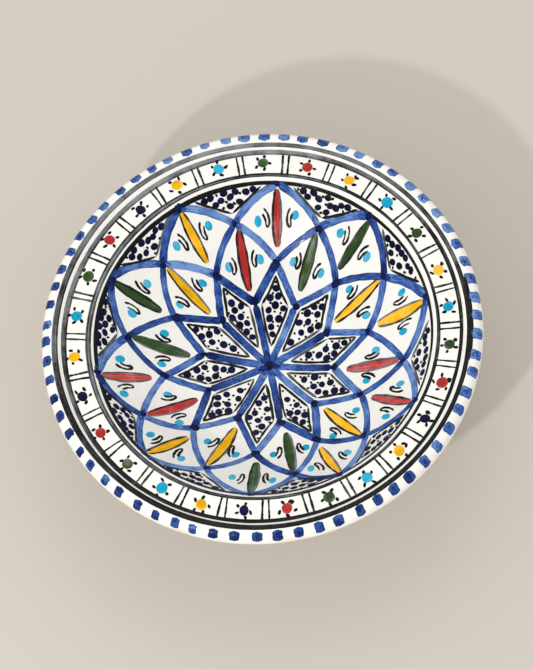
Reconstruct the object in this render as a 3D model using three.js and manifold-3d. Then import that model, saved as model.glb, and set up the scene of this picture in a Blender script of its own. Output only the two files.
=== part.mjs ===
// Hand-painted earthenware serving plate: a thrown and turned clay body with a foot ring, the glaze
// coats laid over it, and the painted coats laid over the face glaze. Millimetres, +Z up, origin on
// the table at the middle of the foot ring. +Y points to the painted star's first upright leaf.
import * as THREE from "three";
import Module from "manifold-3d";

const wasm = await Module();
wasm.setup();

// ---- Driving dimensions -------------------------------------------------------------------------
const RIM_RADIUS = 150; // widest circle of the rolled lip
const WHEEL_STEPS = 40; // facets round every thrown surface
const FOOT_OUTER = 57; // turned foot ring
const FOOT_WALL = 7.5;
const FOOT_EASE = 1; // small chamfer along the foot's two bottom edges
const FOOT_WELL_Z = 7.6; // underside of the floor, inside the foot ring
const GLAZE = 0.5; // thickness of every glaze coat
const SEAT = 0.3; // room kept between one coat and the next
const PAINT = 0.3; // thickness of every painted coat
const GLAZE_STOP = 1.5; // bare clay left between the back glaze and the foot ring

// Turned outlines of the finished plate as [radius, height]: the face runs from the middle of the
// well up over the lip to the widest circle, and the back from there down to the foot ring.
const FACE = [
  [0, 15], [24, 16.9], [46, 22.6], [71, 32.4], [95, 49.4], [108, 62], [115.5, 70.6], [121, 74.2],
  [134.5, 75.2], [138.6, 78.2], [142.6, 81], [146.6, 80.2], [149.2, 77], [RIM_RADIUS, 73.6],
];
const BACK = [
  [RIM_RADIUS, 73.6], [149.2, 70.6], [146, 68.4], [134, 67.4], [124, 65.6], [115.5, 58.2],
  [103, 45.4], [89, 32.6], [74, 22], [58.6, 13.4],
];

// ---- Painted layout -----------------------------------------------------------------------------
const STAR_POINTS = 10;
const STAR_STEP = 360 / STAR_POINTS;
const STAR_TURN = -1; // direction of the first star tip, in degrees from +X
const STAR_RADII = [9, 45.8, 71.4, 95.5, 111.6]; // where the star's arcs cross, from the middle out
const ARC_WIDTH = 5.4;
const ARC_STATIONS = 8;
const SLIVER = 6; // gaps between strokes smaller than this, in square millimetres, are filled
const STAR_HEART = { radius: 8, sides: 20 };
const PANELS = 27;
const PANEL_TURN = 6.3; // middle of the first panel, in degrees from +X
const PANEL_DRIFT = 7.1; // how far the freehand spacing runs ahead half way round, in degrees
const FLANGE_LINE = { radius: 135.2, width: 3 };
const SHOULDER_LINE = { radius: 120.4, width: 1.8 };
const LIP_LINE = { radius: 140.8, width: 3 };
const WELL_LINE = { radius: 115.2, width: 1.8 };
const DIVIDER_GAP = 3.6; // between the two lines of a divider
const DIVIDER_WIDTH = 0.9;
const FLOWER = { radius: 127.6, size: 7.2, sides: 8 };
const OUTER_LEAF = { from: 79, to: 103.5, width: 6 };
const INNER_LEAF = { from: 54.5, to: 88, width: 6 };
const LEAF_STATIONS = 5;

// Colour orders, read anticlockwise seen from above
const LEAF_COLOURS = "YGRYGRYGYR";
const FLOWER_COLOURS = "YGTYRGTYNRGTYNRGTYNRGTYNRGT";

// ---- Materials ----------------------------------------------------------------------------------
const coat = (colour, roughness = 0.12) =>
  new THREE.MeshStandardMaterial({ color: colour, roughness, metalness: 0 });
const CLAY = coat(0xd8b592, 0.85);
const WHITE = coat(0xf4f1ea);
const BLUE = coat(0x2c4fa8);
const BLACK = coat(0x2b2b30);
const PAINTS = {
  Y: coat(0xf5ab12), G: coat(0x2f5a2c), R: coat(0xc23a3c), T: coat(0x1fa9d6), N: coat(0x11133f),
};

// ---- Outlines and thrown solids -----------------------------------------------------------------
const vec = ([r, z]) => new THREE.Vector2(r, z);
const smooth = (outline, steps) => new THREE.SplineCurve(outline.map(vec)).getPoints(steps);

// The same outline moved into the clay by depth; its two ends keep to their own radius or height.
function sunk(outline, depth, side) {
  return outline.map((p, i) => {
    const before = outline[Math.max(i - 1, 0)];
    const after = outline[Math.min(i + 1, outline.length - 1)];
    const along = after.clone().sub(before).normalize();
    const moved = new THREE.Vector2(p.x + along.y * depth * side, p.y - along.x * depth * side);
    if (p.x === 0) moved.x = 0;
    return moved;
  });
}

const face = smooth(FACE, 15);
const back = smooth(BACK, 9);

// A closed outline, anticlockwise with the axis on its left, turned about +Z
function thrown(outline) {
  const turned = new THREE.LatheGeometry(outline, WHEEL_STEPS);
  turned.rotateX(Math.PI / 2);
  return turned;
}

// A coat between the finished outline and the same outline sunk by its thickness
function coatBetween(outer, inner) {
  const loop = [...inner, ...[...outer].reverse()];
  return thrown(loop[0].x === 0 ? loop : [...loop, loop[0].clone()]);
}

// ---- Paint that follows the face ----------------------------------------------------------------
// Height and outward tilt of the thrown face at a point in plan, on the facet that lies under it
function faceUnder(x, y) {
  const half = Math.PI / WHEEL_STEPS;
  const turn = Math.atan2(y, x) / (2 * half);
  const offCentre = (turn - Math.floor(turn) - 0.5) * 2 * half;
  const radius = (Math.hypot(x, y) * Math.cos(offCentre)) / Math.cos(half);
  const i = Math.max(1, face.findIndex((p) => p.x >= radius));
  const [a, b] = [face[i - 1], face[i]];
  const share = (radius - a.x) / (b.x - a.x);
  return { z: a.y + share * (b.y - a.y), tilt: new THREE.Vector2(a.y - b.y, b.x - a.x).normalize() };
}

// A point in plan, laid on the face and raised square to it
function raised(x, y, height) {
  const { z, tilt } = faceUnder(x, y);
  const grow = 1 + (tilt.x * height) / Math.max(Math.hypot(x, y), 1);
  return [x * grow, y * grow, z + tilt.y * height];
}

const polar = (radius, degrees) => {
  const a = THREE.MathUtils.degToRad(degrees);
  return new THREE.Vector2(radius * Math.cos(a), radius * Math.sin(a));
};

// The outline in plan of a brush stroke along a line of points, each with its own half width
function strokeOutline(points, halfWidths) {
  const [left, right] = [[], []];
  points.forEach((p, i) => {
    const before = points[Math.max(i - 1, 0)];
    const after = points[Math.min(i + 1, points.length - 1)];
    const along = after.clone().sub(before).setLength(halfWidths[i]);
    left.push(new THREE.Vector2(p.x - along.y, p.y + along.x));
    right.push(new THREE.Vector2(p.x + along.y, p.y - along.x));
  });
  return [...right, ...left.reverse()];
}

function ringOutline(radius, steps = WHEEL_STEPS, centre = new THREE.Vector2()) {
  return Array.from({ length: steps }, (_, i) => polar(radius, (i * 360) / steps).add(centre));
}

// A painted coat with the given outline in plan, following the face
function painted(outline, holes = []) {
  const shape = new THREE.Shape(outline);
  shape.holes = holes.map((hole) => new THREE.Path(hole));
  const coat = new THREE.ExtrudeGeometry(shape, { depth: PAINT, bevelEnabled: false });
  const place = coat.attributes.position;
  for (let i = 0; i < place.count; i++)
    place.setXYZ(i, ...raised(place.getX(i), place.getY(i), SEAT + place.getZ(i)));
  return coat;
}

const region = (outline) => new wasm.CrossSection([outline.map(({ x, y }) => [x, y])], "Positive");
const band = ({ radius, width }) =>
  region(ringOutline(radius + width / 2)).subtract(region(ringOutline(radius - width / 2)));

// Overlapping regions joined into one coat; slivers left between two strokes are filled
function paintedTogether(regions) {
  const loops = regions.reduce((a, b) => a.add(b)).simplify(0.05).toPolygons()
    .map((loop) => loop.map(([x, y]) => new THREE.Vector2(x, y)))
    .sort((a, b) => THREE.ShapeUtils.area(b) - THREE.ShapeUtils.area(a));
  const holes = loops.slice(1).filter((loop) => THREE.ShapeUtils.area(loop) < -SLIVER);
  return painted(loops[0], holes);
}

// A painted line right round the wheel, bent over the face's own outline
function wheelLine({ radius, width }) {
  const [inner, outer] = [radius - width / 2, radius + width / 2];
  const radii = [inner, ...face.map((p) => p.x).filter((r) => r > inner && r < outer), outer];
  const level = (height) => radii.map((r) => {
    const [x, , z] = raised(r, 0, height);
    return new THREE.Vector2(x, z);
  });
  const low = level(SEAT);
  return thrown([...low, ...level(SEAT + PAINT).reverse(), low[0].clone()]);
}

function leaf({ from, to, width }, degrees) {
  const stations = Array.from({ length: LEAF_STATIONS }, (_, i) => i / (LEAF_STATIONS - 1));
  const plump = (t) => (width / 2) * Math.max(0.15, Math.sin(Math.PI * t) ** 0.8);
  return painted(strokeOutline(stations.map((t) => polar(from + t * (to - from), degrees)),
    stations.map(plump)));
}

function flower(degrees) {
  const { radius, size, sides } = FLOWER;
  return painted(ringOutline(size / 2, sides, polar(radius, degrees)));
}

// One arc of the star: it leaves the middle and turns half a step at each crossing
function starArc(tip, hand) {
  const last = STAR_RADII.length - 1;
  const knots = STAR_RADII.map((radius, i) => {
    const turns = last - Math.max(i, 1); // the first length is straight
    return polar(radius, STAR_TURN + tip * STAR_STEP + (turns * STAR_STEP * hand) / 2);
  });
  const points = new THREE.SplineCurve(knots).getPoints(ARC_STATIONS);
  return strokeOutline(points, points.map(() => ARC_WIDTH / 2));
}

// ---- Pieces -------------------------------------------------------------------------------------
function clayBody() {
  const skin = GLAZE + SEAT;
  const top = sunk(face, skin, 1);
  const under = sunk(back, skin, 1).slice(1);
  const inner = FOOT_OUTER - FOOT_WALL;
  const foot = [
    [FOOT_OUTER + 0.6, FOOT_WELL_Z + 4], [FOOT_OUTER, FOOT_EASE], [FOOT_OUTER - FOOT_EASE, 0],
    [inner + FOOT_EASE, 0], [inner, FOOT_EASE], [inner - 0.6, FOOT_WELL_Z], [0, FOOT_WELL_Z],
  ].map(vec);
  return thrown([...top, ...under, ...foot].reverse());
}

function faceGlaze() {
  return coatBetween(face, sunk(face, GLAZE, 1));
}

function backGlaze() {
  const coated = back.slice(0, -1);
  coated.push(vec([FOOT_OUTER + 2.6 + GLAZE_STOP, BACK[BACK.length - 1][1] + GLAZE_STOP]));
  const lip = 0.02; // keeps the two coats' shared edge apart
  coated[0].y -= SEAT + lip;
  return coatBetween(coated, sunk(coated, GLAZE, 1));
}

function footWellGlaze() {
  const radius = FOOT_OUTER - FOOT_WALL - 2.5;
  const top = FOOT_WELL_Z - SEAT;
  return thrown([[0, top - GLAZE], [radius, top - GLAZE], [radius, top], [0, top]].map(vec));
}

// The panels are spaced by eye, so they creep ahead and the last ones take up the slack.
const panelMiddle = (k) => PANEL_TURN + (k * 360) / PANELS + PANEL_DRIFT * Math.sin((Math.PI * k) / PANELS);

// Two wheel lines and the pairs of lines that divide the flange into panels
function panelFrame() {
  const dividers = [];
  for (let k = 0; k < PANELS; k++)
    for (const side of [-1, 1]) {
      const aside = THREE.MathUtils.radToDeg((side * DIVIDER_GAP) / 2 / FLOWER.radius);
      const degrees = panelMiddle(k + 0.5) + aside;
      const ends = [SHOULDER_LINE.radius, FLANGE_LINE.radius].map((r) => polar(r, degrees));
      dividers.push(region(strokeOutline(ends, [DIVIDER_WIDTH / 2, DIVIDER_WIDTH / 2])));
    }
  return paintedTogether([band(FLANGE_LINE), band(SHOULDER_LINE), ...dividers]);
}

function blueStar() {
  const arcs = [];
  for (let tip = 0; tip < STAR_POINTS; tip++)
    for (const hand of [-1, 1]) arcs.push(region(starArc(tip, hand)));
  return paintedTogether([region(ringOutline(STAR_HEART.radius, STAR_HEART.sides)), ...arcs]);
}

// ---- Assembly -----------------------------------------------------------------------------------
const plate = new THREE.Group();

function add(name, geometry, material) {
  const mesh = new THREE.Mesh(geometry, material);
  mesh.name = name;
  plate.add(mesh);
}

add("clay_body", clayBody(), CLAY);
add("face_glaze", faceGlaze(), WHITE);
add("back_glaze", backGlaze(), WHITE);
add("foot_well_glaze", footWellGlaze(), WHITE);
add("lip_line", wheelLine(LIP_LINE), BLACK);
add("well_line", wheelLine(WELL_LINE), BLACK);
add("panel_frame", panelFrame(), BLACK);
add("blue_star", blueStar(), BLUE);

const number = (k) => String(k + 1).padStart(2, "0");
for (let k = 0; k < STAR_POINTS; k++) {
  const tip = STAR_TURN + k * STAR_STEP;
  add(`outer_leaf_${number(k)}`, leaf(OUTER_LEAF, tip), PAINTS[LEAF_COLOURS[k]]);
  add(`inner_leaf_${number(k)}`, leaf(INNER_LEAF, tip + STAR_STEP / 2), PAINTS[LEAF_COLOURS[k]]);
}
for (let k = 0; k < PANELS; k++)
  add(`flower_dot_${number(k)}`, flower(panelMiddle(k)), PAINTS[FLOWER_COLOURS[k]]);

export default plate;
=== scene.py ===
"""Deep serving plate of thrown earthenware, glazed white and painted by hand.

The potter's and the painter's steps are operators, in the order in which such a plate is made.
"""
import math
import random

import bpy
import bmesh
from bpy.props import FloatProperty, FloatVectorProperty, IntProperty, PointerProperty
from mathutils import Matrix, Vector


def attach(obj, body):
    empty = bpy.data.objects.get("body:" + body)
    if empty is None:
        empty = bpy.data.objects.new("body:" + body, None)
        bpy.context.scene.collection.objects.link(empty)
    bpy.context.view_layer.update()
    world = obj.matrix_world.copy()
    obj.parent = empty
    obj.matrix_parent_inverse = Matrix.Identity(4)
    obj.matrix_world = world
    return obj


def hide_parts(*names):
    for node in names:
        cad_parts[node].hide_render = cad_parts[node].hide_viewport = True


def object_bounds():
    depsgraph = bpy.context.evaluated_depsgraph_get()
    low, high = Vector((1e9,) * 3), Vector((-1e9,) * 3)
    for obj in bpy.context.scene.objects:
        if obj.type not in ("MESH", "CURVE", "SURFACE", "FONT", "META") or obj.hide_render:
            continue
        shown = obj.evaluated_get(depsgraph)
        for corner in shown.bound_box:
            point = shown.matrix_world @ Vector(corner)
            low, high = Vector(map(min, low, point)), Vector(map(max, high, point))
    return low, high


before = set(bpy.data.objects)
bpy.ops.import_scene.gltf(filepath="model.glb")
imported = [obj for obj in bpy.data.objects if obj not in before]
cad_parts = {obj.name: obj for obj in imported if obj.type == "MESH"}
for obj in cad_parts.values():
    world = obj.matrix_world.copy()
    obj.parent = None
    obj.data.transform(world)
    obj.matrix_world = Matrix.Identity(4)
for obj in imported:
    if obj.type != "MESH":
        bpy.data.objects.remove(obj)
CAD_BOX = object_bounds()

bl_info = {
    "name": "Painted Serving Plate",
    "version": (1, 0, 0),
    "blender": (4, 5, 0),
    "location": "View3D > Sidebar > Plate",
    "description": "Throws, glazes and paints a deep earthenware serving plate",
    "category": "Add Mesh",
}

POINTS = 10  # tips of the star
STEP = 360 / POINTS
PANELS = 27
LIP_MM = 150  # widest circle of the outlines below; all drawn sizes and places are in millimetres

# Turned outlines of the plate as (radius, height) in millimetres
FACE = (
    (0, 15), (24, 16.9), (46, 22.6), (71, 32.4), (95, 49.4), (108, 62), (115.5, 70.6), (121, 74.2),
    (134.5, 75.2), (138.6, 78.2), (142.6, 81), (146.6, 80.2), (149.2, 77), (150, 73.6),
)
BACK = (
    (150, 73.6), (149.2, 70.6), (146, 68.4), (134, 67.4), (124, 65.6), (115.5, 58.2), (103, 45.4),
    (89, 32.6), (74, 22), (58.6, 13.4),
)
FOOT = (
    (58.6, 13.4), (57.2, 8), (57, 1.5), (56.6, 0.6), (55.9, 0.12), (55.4, 0.06), (50.9, 0.06), (50.3, 0.2),
    (49.6, 1.5), (49, 6.2), (47.2, 7.6), (24, 7.6), (0, 7.6),
)
FOOT_WELL_COAT = ((0, 7.15), (24, 7.15), (46.2, 7.15), (46.8, 7.3), (46.2, 7.45), (24, 7.45), (0, 7.45))
FOOT_BARE = 1.6  # the glaze stops this far above the foot ring
GLAZE_THICKNESS = 0.5
CLAY_DEPTH = 0.55  # how far under the glaze's outline the clay begins

# Marks beyond ROLL_START wrap round the lip, about a circle whose middle is at ROLL_HEIGHT
ROLL_START, ROLL_HEIGHT, ROLL_RADIUS = 144, 74.5, 6.5
DROP = 0.03  # metres off the glaze from which marks are laid on it
STROKE_WOBBLE, DAB_WOBBLE = 0.0003, 0.0006  # how far the edge of a mark strays, in metres
LAYER_STEP = 0.003  # millimetres between crossing marks, so that none share a height
THIN_END = 0.12  # narrowest a stroke gets at its ends, as a share of its width
HAIR = 1.15  # width of one strand of the brush that draws the wheel lines

# The painter's crossings from the middle outwards: radius, and how far each wandered, in degrees
CROSSINGS = (
    (45.8, 17, (-3, 0, 0, -2, -3, -4, -3, -1, -3, -1)),
    (71.4, -1, (1, 0, 1, 0, -2, -2, -2, 0, -1, -1)),
    (95.5, 17, (1, 1, 1, 0, 0, 0, 0, 1, -2, -2)),
    (114.0, -1, (1, 2, 1, 1, 0, 0, 0, 2, -2, -2)),
)
LEAF_COLOURS = "YGRYGRYGYR"
FLOWER_COLOURS = "YGTYRGTYNRGTYNRGTYNRGTYNRGT"
COLOUR_NAMES = {"Y": "yellow", "G": "green", "R": "red", "T": "turquoise", "N": "navy"}
PANEL_TURN = 6.3  # middle of the first panel
PANEL_DRIFT = 7.1  # panels start wide and finish narrow, so their middles drift by this many degrees
PANEL_INNER, PANEL_OUTER = 118.9, 135.0  # ends of the dividers
DIVIDER_ASIDE = 0.95  # degrees from the middle of a pair of dividers to each of them
FLOWER_RADIUS = 127.8
LEAF_STEPS = 14  # steps along a leaf
BROAD_LEAF = (3, 0)  # crossing ring and number of the one leaf that was painted broader
BROADER = 1.35
RHOMB_INSET, RHOMB_TIP = 4.5, 8  # outline to the blue strokes, and to the outer crossing
FAN_TOP, FAN_SPREAD = 113.6, 12.3  # radius of a fan's top corners, and degrees to them from its middle

# Lines drawn on the wheel: place, breadth and strength, each as (middle, swing, direction of the swing),
# then where the brush came down and how far it ran, in degrees
LIP_LINES = (
    ((140.4, 0.3, 270), (3.2, 1.0, 240), (0.5, 0.3, 275), 352, 366),
    ((141.3, 0.2, 350), (2.8, 0.4, 350), (0.66, 0.1, 340), 336, 28),
)
FLANGE_LINES = (
    ((135.2, 0.4, 20), (2.8, 0.5, 150), (0.46, 0.3, 285), 20, 366),
    ((118.9, 0.8, 20), (2.2, 0.9, 190), (0.42, 0.16, 330), 200, 366),
    ((119.8, 0.7, 20), (0.8, 0.2, 60), (0.75, 0.1, 200), 300, 366),
)
WELL_LINES = (((114.6, 0.8, 20), (1.8, 0.4, 150), (0.8, 0.12, 120), 100, 366),)

# Studio
FLANGE_MIDDLE = Vector((0, 0, 0.0744))  # the camera and the lamps are aimed here
CAMERA_SHIFT = (0.0082, -0.0028)
KEY_WIDTH = 0.045  # width of the key lamp as a share of its distance
LAMP_COLOUR = (1.0, 0.985, 0.96)
SKY = ((0.0, (1.14, 1.11, 1.05)), (0.45, (1.32, 1.28, 1.22)), (0.8, (1.08, 1.065, 1.04)),
       (1.0, (0.6, 0.6, 0.59)))  # horizon to overhead
FLOOR_HALF = 4.0


# ---- Small helpers ------------------------------------------------------------------------------
def polar(radius, degrees):
    turn = math.radians(degrees)
    return Vector((radius * math.cos(turn), radius * math.sin(turn)))


def catmull(points, per_span):
    """A smooth line through the points, with the given number of steps between neighbours."""
    padded = [points[0], *points, points[-1]]
    line = []
    for a, b, c, d in zip(padded, padded[1:], padded[2:], padded[3:]):
        for i in range(per_span):
            t = i / per_span
            line.append(0.5 * ((2 * b) + (c - a) * t + (2 * a - 5 * b + 4 * c - d) * t * t
                               + (3 * b - a - 3 * c + d) * t * t * t))
    line.append(points[-1].copy())
    return line


def thrown_outline(outline, per_span):
    return catmull([Vector(p) for p in outline], per_span)


def crossing(ring, k):
    radius, turn, wander = CROSSINGS[ring]
    return polar(radius, turn + STEP * k + wander[k % POINTS])


def bent(start, pull, end, steps):
    """A curve from start to end that is drawn towards pull."""
    return [start.lerp(pull, t).lerp(pull.lerp(end, t), t) for t in (i / steps for i in range(steps + 1))]


def bowed(start, end, bow, steps=10):
    """A line from start to end that bows by bow, away from the middle of the plate."""
    middle = (start + end) / 2
    across = Vector((start.y - end.y, end.x - start.x)).normalized()
    if across.dot(middle) < 0:
        across.negate()
    pull = middle + across * bow * 2
    return bent(start, pull, end, steps)


def square_to(way):
    """The direction a quarter turn anticlockwise from way."""
    unit = way.normalized()
    return Vector((-unit.y, unit.x))


def bearing(place):
    """The direction of a place from the middle of the plate, in degrees."""
    return math.degrees(math.atan2(place.y, place.x))


def inset(corners, distance):
    """A convex polygon's corners, anticlockwise, moved in by distance."""
    moved = []
    count = len(corners)
    for i, corner in enumerate(corners):
        before = square_to(corner - corners[i - 1])
        after = square_to(corners[(i + 1) % count] - corner)
        inward = (before + after).normalized()
        moved.append(corner + inward * (distance / max(0.2, inward.dot(before))))
    return moved


def panel_middle(k):
    return PANEL_TURN + k * 360 / PANELS + PANEL_DRIFT * math.sin(math.pi * k / PANELS)


def offset_outline(outline, depth):
    """The outline moved into the clay; its ends stay on the axis."""
    moved = []
    for i, p in enumerate(outline):
        along = (outline[min(i + 1, len(outline) - 1)] - outline[max(i - 1, 0)]).normalized()
        q = p + Vector((along.y, -along.x)) * depth
        if p.x < 1e-6:
            q.x = 0
        moved.append(q)
    return moved


def wave(middle, swing, towards):
    """A value that swings round the plate and is greatest in one direction, in degrees."""
    return lambda turn: middle + swing * math.cos(math.radians(turn - towards))


class Marks:
    """Brush marks in plan, gathered as chains of points in millimetres."""

    def __init__(self, seed):
        self.points, self.edges, self.widths, self.tones, self.layers = [], [], [], [], []
        self.random = random.Random(seed)
        self.count = 0

    def stroke(self, line, width, tone, taper, wobble=0.06, layer=0.0):
        """taper: how long the brush takes to reach its width at each end, in widths."""
        first = len(self.points)
        lengths = [0.0]
        for a, b in zip(line, line[1:]):
            lengths.append(lengths[-1] + (b - a).length)
        swell = self.random.random() * 6
        self.count += 1
        for i, (p, s) in enumerate(zip(line, lengths)):
            half = width[i] if isinstance(width, (list, tuple)) else width / 2
            half *= 1 + wobble * math.sin(s * 0.55 + swell) + wobble * 0.6 * math.sin(s * 1.7 + swell * 3)
            for reach, gone in ((taper[0], s), (taper[1], lengths[-1] - s)):
                if reach > 0:
                    share = min(1.0, gone / (reach * 2 * half))
                    half *= max(THIN_END, math.sqrt(1 - (1 - share) ** 2))
            self.points.append(Vector((p.x, p.y, 0)))
            self.widths.append(half)
            self.tones.append(tone[i] if isinstance(tone, (list, tuple)) else tone)
            self.layers.append(layer + LAYER_STEP * (self.count % 17))
        self.edges += [(first + i, first + i + 1) for i in range(len(line) - 1)]


class Dabs:
    """Round or oval touches of the brush, gathered as single points in millimetres."""

    def __init__(self, seed):
        self.points, self.sizes, self.turns, self.tones, self.layers = [], [], [], [], []
        self.random = random.Random(seed)

    def dab(self, place, size, turn, tone, layer=0.0):
        """size: length and width; turn in degrees."""
        self.points.append(Vector((place.x, place.y, 0)))
        self.sizes.append(Vector((size[0] / 2, size[1] / 2, 1)))
        self.turns.append(math.radians(turn))
        self.tones.append(tone)
        self.layers.append(layer + LAYER_STEP * (len(self.points) % 7))


# ---- Node trees ---------------------------------------------------------------------------------
def new_node(tree, kind, inputs=None, **settings):
    """Adds a node, sets its properties, and fills or links its inputs by name or number."""
    node = tree.nodes.new(kind)
    for key, value in settings.items():
        setattr(node, key, value)
    for key, value in (inputs or {}).items():
        socket = node.inputs[key]
        if isinstance(value, bpy.types.NodeSocket):
            tree.links.new(value, socket)
        else:
            socket.default_value = value
    return node


def math_node(tree, operation, a, b=None, clamp=False):
    inputs = {i: v for i, v in enumerate((a, b)) if v is not None}
    return new_node(tree, "ShaderNodeMath", inputs, operation=operation, use_clamp=clamp).outputs[0]


def vector_node(tree, operation, a, b=None, scale=None):
    inputs = {i: v for i, v in enumerate((a, b)) if v is not None}
    if scale is not None:
        inputs["Scale"] = scale
    return new_node(tree, "ShaderNodeVectorMath", inputs, operation=operation).outputs[0]


def in_plan(tree, split):
    """The separated place with its height taken off, and its distance from the axis."""
    flat = new_node(tree, "ShaderNodeCombineXYZ", {0: split.outputs[0], 1: split.outputs[1]}).outputs[0]
    return flat, new_node(tree, "ShaderNodeVectorMath", {0: flat}, operation="LENGTH").outputs["Value"]


def separated(tree, vector=None):
    """A place in its three parts; without one, the place of each point of the mesh."""
    if vector is None:
        vector = new_node(tree, "GeometryNodeInputPosition").outputs[0]
    return new_node(tree, "ShaderNodeSeparateXYZ", {0: vector})


def upwards(tree, height):
    return new_node(tree, "ShaderNodeCombineXYZ", {2: height}).outputs[0]


def moved_to(tree, geometry, position):
    return new_node(tree, "GeometryNodeSetPosition", {"Geometry": geometry, "Position": position}).outputs[0]


def geometry_tree(name, sockets):
    """A Geometry Nodes tree with the given named inputs, and its group input and output nodes."""
    tree = bpy.data.node_groups.new(name, "GeometryNodeTree")
    tree.interface.new_socket("Geometry", in_out="INPUT", socket_type="NodeSocketGeometry")
    for label, kind in sockets:
        tree.interface.new_socket(label, in_out="INPUT", socket_type="NodeSocket" + kind)
    tree.interface.new_socket("Geometry", in_out="OUTPUT", socket_type="NodeSocketGeometry")
    return tree, tree.nodes.new("NodeGroupInput"), tree.nodes.new("NodeGroupOutput")


def stored(tree, name, data_type="FLOAT"):
    return new_node(tree, "GeometryNodeInputNamedAttribute", {"Name": name}, data_type=data_type).outputs[0]


def store(tree, geometry, name, value):
    return new_node(tree, "GeometryNodeStoreNamedAttribute",
                    {"Geometry": geometry, "Name": name, "Value": value},
                    data_type="FLOAT", domain="POINT").outputs[0]


def finish_tree(tree, out, geometry, material):
    real = new_node(tree, "GeometryNodeRealizeInstances", {"Geometry": geometry}).outputs[0]
    soft = new_node(tree, "GeometryNodeSetShadeSmooth", {"Geometry": real}).outputs[0]
    done = new_node(tree, "GeometryNodeSetMaterial", {"Geometry": soft, "Material": material}).outputs[0]
    tree.links.new(done, out.inputs[0])


def turning_tree():
    """Turns an outline about the wheel's axis, and closes the middle and the seam."""
    tree, given, out = geometry_tree("Turn On The Wheel", (
        ("Facets", "Int"), ("Outline Steps", "Int"), ("Material", "Material")))
    across = math_node(tree, "ADD", given.outputs["Facets"], 1)
    grid = new_node(tree, "GeometryNodeMeshGrid", {
        "Size X": 1.0, "Size Y": 1.0, "Vertices X": across, "Vertices Y": given.outputs["Outline Steps"]})
    position = new_node(tree, "GeometryNodeInputPosition").outputs[0]
    place = separated(tree, position)
    turn = math_node(tree, "MULTIPLY", math_node(tree, "ADD", place.outputs[0], 0.5), math.tau)
    last = math_node(tree, "SUBTRACT", given.outputs["Outline Steps"], 1)
    share = math_node(tree, "ADD", place.outputs[1], 0.5)
    step = math_node(tree, "ROUND", math_node(tree, "MULTIPLY", share, last))
    point = new_node(tree, "GeometryNodeSampleIndex", {
        "Geometry": given.outputs["Geometry"], "Value": position, "Index": step}, data_type="FLOAT_VECTOR")
    section = separated(tree, point.outputs[0])
    x = math_node(tree, "MULTIPLY", section.outputs[0], math_node(tree, "COSINE", turn))
    y = math_node(tree, "MULTIPLY", section.outputs[0], math_node(tree, "SINE", turn))
    spun = new_node(tree, "ShaderNodeCombineXYZ", {0: x, 1: y, 2: section.outputs[2]}).outputs[0]
    shaped = moved_to(tree, grid.outputs[0], spun)
    closed = new_node(tree, "GeometryNodeMergeByDistance", {"Geometry": shaped, "Distance": 1e-6}).outputs[0]
    finish_tree(tree, out, closed, given.outputs["Material"])


def laying_tree():
    """Lays flat marks on the glazed face: over the lip's roll, a mark wraps round it."""
    tree, given, out = geometry_tree("Lay On The Face", (
        ("Face", "Geometry"), ("Thickness", "Float"), ("Wobble", "Float"),
        ("Roll Start", "Float"), ("Roll Height", "Float"), ("Roll Radius", "Float")))
    flat = new_node(tree, "GeometryNodeInputPosition").outputs[0]
    grain = new_node(tree, "ShaderNodeTexNoise", {"Vector": flat, "Scale": 420.0, "Detail": 1.0},
                     noise_dimensions="3D").outputs["Color"]
    jitter = vector_node(tree, "SCALE", vector_node(tree, "SUBTRACT", grain, (0.5, 0.5, 0.5)),
                         scale=given.outputs["Wobble"])
    plan, radius = in_plan(tree, separated(tree, vector_node(tree, "ADD", flat, jitter)))
    outward = vector_node(tree, "NORMALIZE", plan)
    over = math_node(tree, "MAXIMUM", math_node(tree, "SUBTRACT", radius, given.outputs["Roll Start"]), 0.0)
    bend = math_node(tree, "DIVIDE", over, given.outputs["Roll Radius"])
    aside = vector_node(tree, "SCALE", outward, scale=math_node(tree, "SINE", bend))
    away = vector_node(tree, "ADD", aside, upwards(tree, math_node(tree, "COSINE", bend)))
    inner = math_node(tree, "MINIMUM", radius, given.outputs["Roll Start"])
    base = vector_node(tree, "SCALE", outward, scale=inner)
    middle = vector_node(tree, "ADD", base, upwards(tree, given.outputs["Roll Height"]))
    above = vector_node(tree, "ADD", middle, vector_node(tree, "SCALE", away, scale=DROP))
    ray = new_node(tree, "GeometryNodeRaycast", {
        "Target Geometry": given.outputs["Face"], "Source Position": above,
        "Ray Direction": vector_node(tree, "SCALE", away, scale=-1.0), "Ray Length": 10 * DROP})
    lift = math_node(tree, "MULTIPLY", stored(tree, "lift"), given.outputs["Thickness"])
    height = math_node(tree, "ADD", lift, stored(tree, "layer"))
    placed = vector_node(tree, "ADD", ray.outputs["Hit Position"],
                         vector_node(tree, "SCALE", ray.outputs["Hit Normal"], scale=height))
    tree.links.new(moved_to(tree, given.outputs["Geometry"], placed), out.inputs[0])


LAY_INPUTS = (("Face", "Object"), ("Thickness", "Float"), ("Wobble", "Float"), ("Roll Start", "Float"),
              ("Roll Height", "Float"), ("Roll Radius", "Float"), ("Material", "Material"))


def lay(tree, given, geometry):
    face = new_node(tree, "GeometryNodeObjectInfo", {"Object": given.outputs["Face"]}).outputs["Geometry"]
    group = tree.nodes.new("GeometryNodeGroup")
    group.node_tree = bpy.data.node_groups["Lay On The Face"]
    passed = {label: given.outputs[label] for label, _ in LAY_INPUTS[1:-1]}
    for label, value in {"Geometry": geometry, "Face": face, **passed}.items():
        tree.links.new(value, group.inputs[label])
    return group.outputs[0]


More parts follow.
